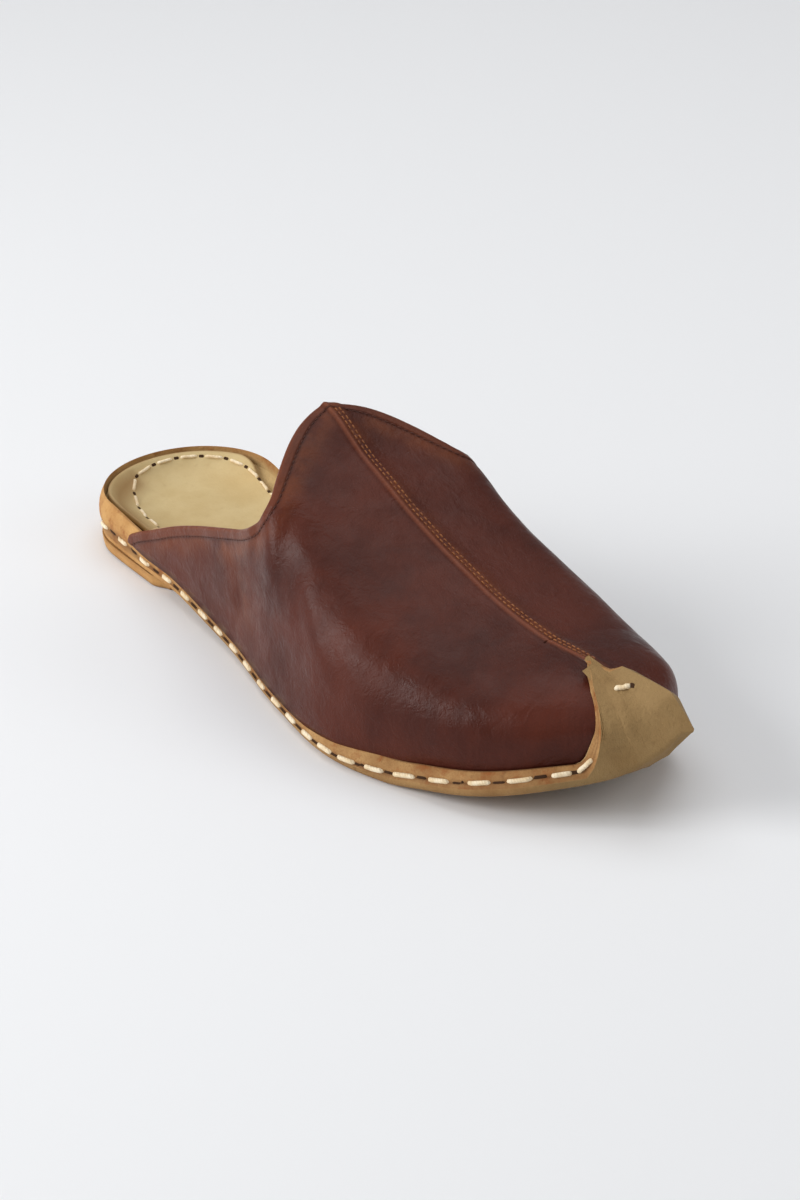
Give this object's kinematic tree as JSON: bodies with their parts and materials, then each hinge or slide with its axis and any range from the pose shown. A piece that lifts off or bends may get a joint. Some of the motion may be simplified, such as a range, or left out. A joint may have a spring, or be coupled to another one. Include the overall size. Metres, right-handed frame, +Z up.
{
  "type": "babouche slipper",
  "caption": "Backless leather babouche slipper with a pointed throat, a raised vamp seam and a turned-up sole whose flap folds over the toe.",
  "frame": {"origin": "on the floor, under the middle of the heel seat, on the flat bottom of the heel lift", "axes": "+X towards the toe, +Y towards the wearer's left (the inner side of this right shoe), +Z up"},
  "size_m": [0.2843, 0.0942, 0.0823],
  "materials": {
    "sole_leather": "olive tan, nappy, raw cut edges",
    "heel_leather": "golden tan, worn",
    "insole_leather": "pale natural tan, matt",
    "upper_leather": "dark reddish brown, fine grain, soft gloss",
    "lining": "beige, wrinkled, matt",
    "waxed_thread": "cream waxed thread"
  },
  "bodies": {
    "root": {"outsole": "sole_leather", "heel_lift": "heel_leather", "insole": "insole_leather", "upper": "upper_leather"}
  },
  "joints": []
}
